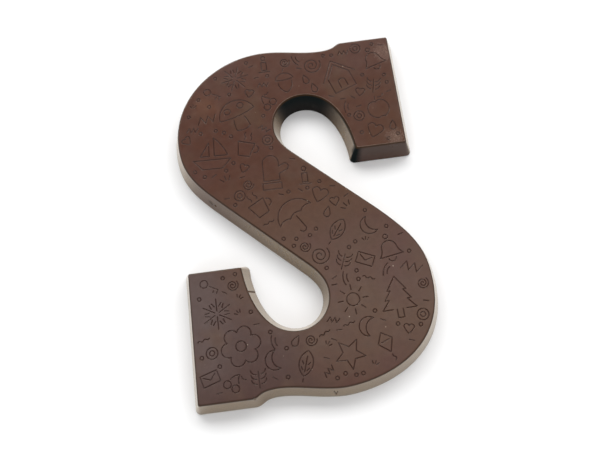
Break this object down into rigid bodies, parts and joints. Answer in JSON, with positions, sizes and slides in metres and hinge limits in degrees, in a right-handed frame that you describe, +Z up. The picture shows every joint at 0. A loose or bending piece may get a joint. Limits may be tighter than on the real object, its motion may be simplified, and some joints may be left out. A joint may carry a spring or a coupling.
{
  "type": "chocolate letter",
  "caption": "Solid dark chocolate letter S with slab ends, drafted sides, a softly rounded rim and small engraved drawings on its face.",
  "frame": {"origin": "on the flat underside, in the middle of the letter, where the two halves of the S turn into each other", "axes": "+Z up out of the engraved face, +Y towards the letter's top, +X to its right; it lies flat on its back"},
  "size_m": [0.1156, 0.175, 0.011],
  "materials": {
    "dark_chocolate": "satin"
  },
  "bodies": {
    "root": {"chocolate_letter": "dark_chocolate"}
  },
  "joints": []
}
